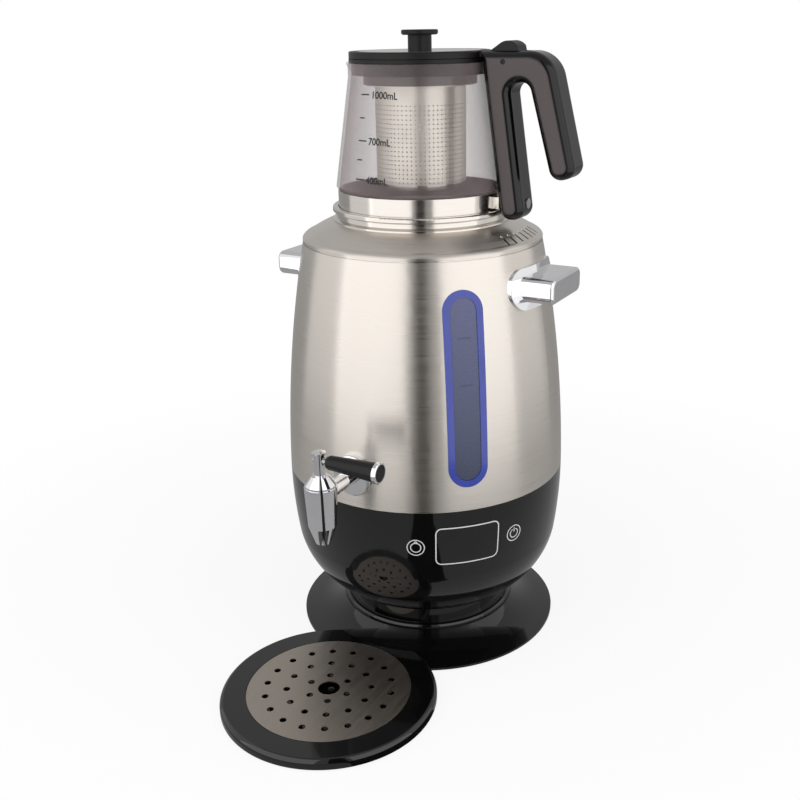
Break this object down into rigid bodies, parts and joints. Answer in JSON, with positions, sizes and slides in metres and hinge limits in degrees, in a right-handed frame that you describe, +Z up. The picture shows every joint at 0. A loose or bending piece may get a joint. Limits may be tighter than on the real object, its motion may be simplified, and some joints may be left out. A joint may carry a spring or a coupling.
{
  "type": "samovar",
  "caption": "Electric samovar: tapered steel urn on a black bowl and flared stand, cross-lever tap over a round drip tray, level gauge, and a lidded glass teapot on top.",
  "frame": {"origin": "on the urn's vertical axis, in the plane of the table that the feet stand on", "axes": "+Z up, tap and drip tray at -Y, side handles at +X and -X, teapot handle at +X and its spout at -X"},
  "size_m": [0.2376, 0.3391, 0.4584],
  "materials": {
    "gloss_black": "high-gloss black moulded plastic",
    "satin_black": "satin black moulded plastic",
    "smoke_plastic": "satin grey-brown plastic",
    "brushed_shell": "vertically lit brushed stainless steel",
    "polished_steel": "polished stainless steel",
    "chrome_plate": "bright chrome plate",
    "plain_steel": "plain zinc-plated steel",
    "cast_plate": "cast aluminium",
    "thermostat_can": "bright pressed can",
    "brass_nut": "turned brass",
    "black_rubber": "moulded rubber",
    "clear_glass": "clear borosilicate glass",
    "blue_frame": "translucent blue plastic",
    "smoke_window": "tinted smoky blue window",
    "circuit_board": "green solder mask",
    "transformer_iron": "varnished laminations"
  },
  "bodies": {
    "root": {"base_skirt": "gloss_black", "base_plate": "satin_black", "rubber_feet": "black_rubber", "base_screws": "plain_steel", "pedestal_neck": "gloss_black", "bowl_housing": "gloss_black", "display_panel": "gloss_black", "display_module": "satin_black", "control_board": "circuit_board", "touch_sensors": "satin_black", "power_board": "circuit_board", "board_standoffs": "satin_black", "transformer": "transformer_iron", "relay": "satin_black", "heating_plate": "cast_plate", "heating_element": "plain_steel", "thermostats": "thermostat_can", "tie_rod": "plain_steel", "tie_nut": "plain_steel", "inlet_socket": "satin_black", "inlet_pins": "plain_steel", "body_shell": "brushed_shell", "water_tank": "polished_steel", "gauge_frame": "blue_frame", "gauge_window": "smoke_window", "gauge_gasket": "black_rubber", "gauge_tube": "clear_glass", "gauge_ports": "plain_steel", "side_handle_right": "chrome_plate", "side_handle_left": "chrome_plate", "handle_screws": "plain_steel", "tap_body": "chrome_plate", "tap_bonnet": "chrome_plate", "tap_rose": "chrome_plate", "tap_seal": "black_rubber", "tap_nut": "brass_nut"},
    "tap_lever": {"tap_spindle": "chrome_plate", "lever_rod": "plain_steel", "lever_grip": "satin_black", "lever_cap": "satin_black", "lever_ring": "chrome_plate"},
    "top_cover": {"shoulder_cover": "brushed_shell", "collar_ring": "polished_steel", "cover_gasket": "black_rubber"},
    "teapot": {"teapot_base": "polished_steel", "glass_jug": "clear_glass", "infuser_ring": "satin_black", "infuser_sleeve": "smoke_plastic", "infuser_basket": "polished_steel", "basket_foot": "polished_steel", "teapot_handle": "satin_black", "handle_bracket": "polished_steel", "handle_screw": "plain_steel"},
    "lid": {"lid_disc": "satin_black", "lid_inset": "polished_steel", "lid_knob": "chrome_plate", "lid_seal": "black_rubber", "hinge_pin": "plain_steel"},
    "tray": {"drip_tray": "gloss_black"},
    "plate": {"drain_plate": "polished_steel"}
  },
  "joints": [
    {"name": "tap_turn", "type": "hinge", "parent": "root", "child": "tap_lever", "pos_m": [0, -0.1485, 0.188], "axis": [0, 0, 1], "range_deg": [-90, 0]},
    {"name": "cover_lift", "type": "slide", "parent": "root", "child": "top_cover", "axis": [0, 0, 1], "range_m": [0, 0.06]},
    {"name": "teapot_lift", "type": "slide", "parent": "top_cover", "child": "teapot", "axis": [0, 0, 1], "range_m": [0, 0.12]},
    {"name": "lid_hinge", "type": "hinge", "parent": "teapot", "child": "lid", "pos_m": [0.07, 0, 0.4377], "axis": [0, 1, 0], "range_deg": [0, 75]},
    {"name": "tray_slide", "type": "slide", "parent": "root", "child": "tray", "axis": [0, -1, 0], "range_m": [0, 0.08]},
    {"name": "plate_lift", "type": "slide", "parent": "tray", "child": "plate", "axis": [0, 0, 1], "range_m": [0, 0.04]}
  ]
}
